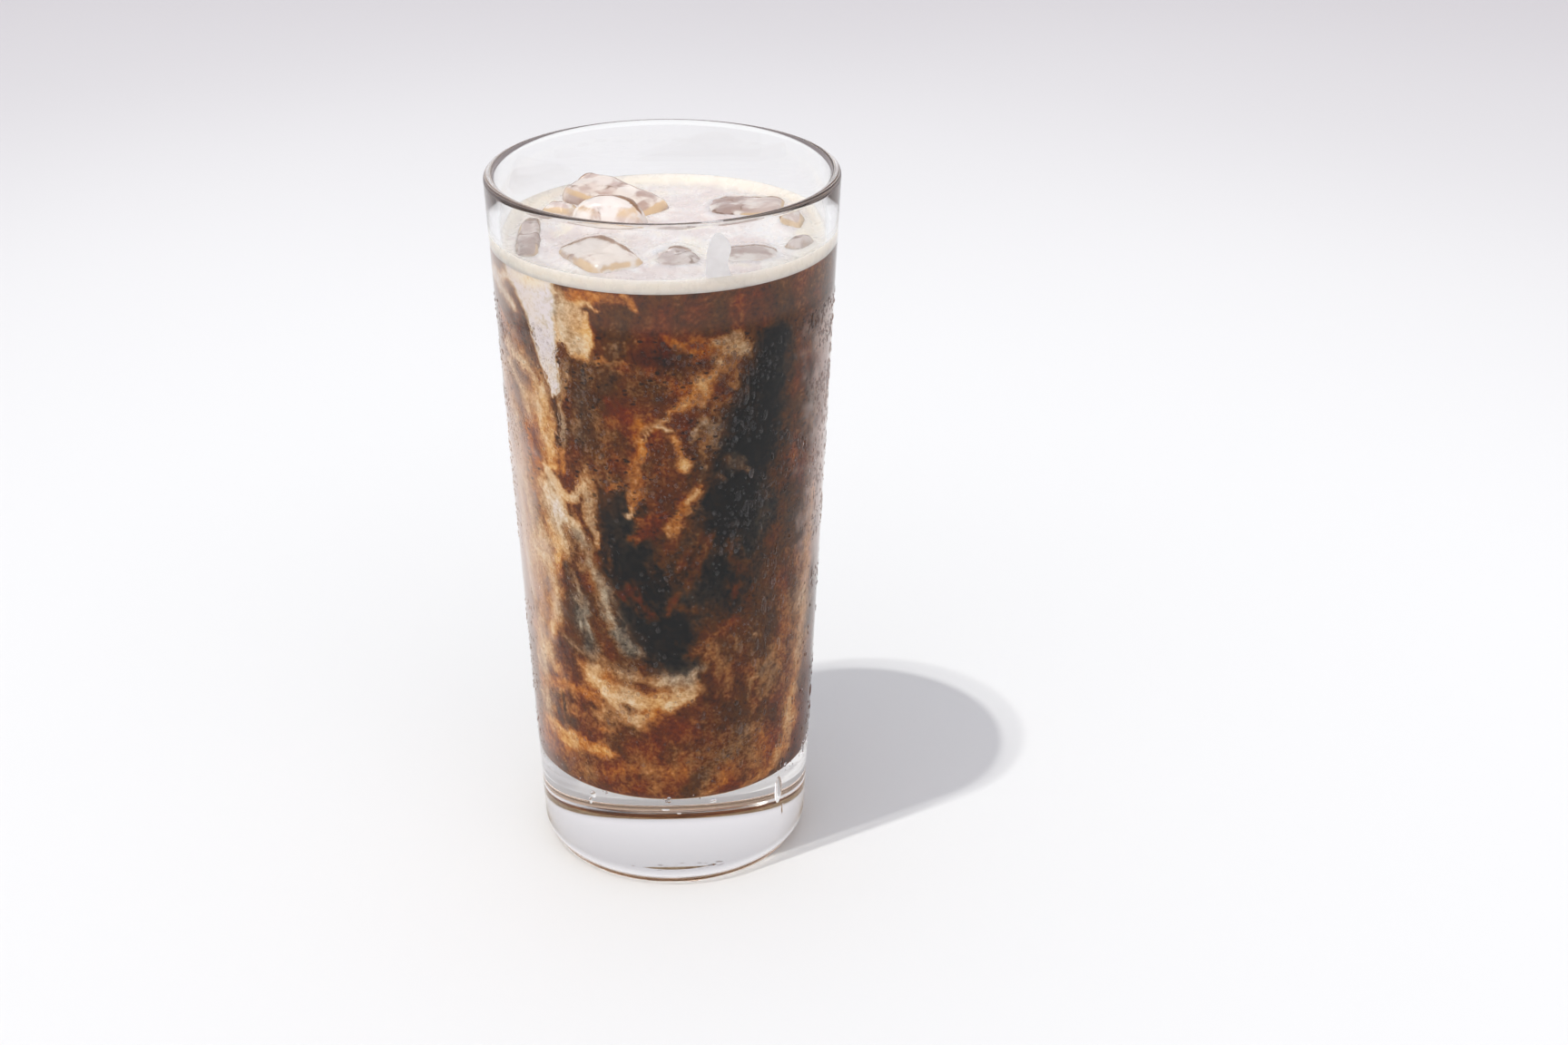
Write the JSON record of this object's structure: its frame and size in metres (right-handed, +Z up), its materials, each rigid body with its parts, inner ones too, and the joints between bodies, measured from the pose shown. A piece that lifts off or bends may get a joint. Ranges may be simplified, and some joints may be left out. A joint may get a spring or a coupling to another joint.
{
  "type": "glass of iced coffee with milk",
  "caption": "Tall tapered heavy-based glass filled with iced coffee and swirling milk, with a cream layer and blocks of ice at the top.",
  "frame": {"origin": "middle of the glass's foot, on the surface it stands on", "axes": "+Z up the glass; the picture looks along +Y from the front, 25 degrees down; +X to its right"},
  "size_m": [0.0732, 0.0732, 0.155],
  "materials": {
    "glass": "clear, fire-polished rim",
    "coffee": "dark coffee with tan and cream swirls of milk",
    "cream": "wet, fine-bubbled cream",
    "ice": "melted clear ice, filmed with milk"
  },
  "bodies": {
    "root": {"glass": "glass", "coffee": "coffee", "cream": "cream", "ice_back_left": "ice", "ice_dome": "ice", "ice_left_shard": "ice", "ice_left": "ice", "ice_front_left": "ice", "ice_front": "ice", "ice_front_right": "ice", "ice_right": "ice", "ice_right_shard": "ice", "ice_back_right": "ice"}
  },
  "joints": []
}
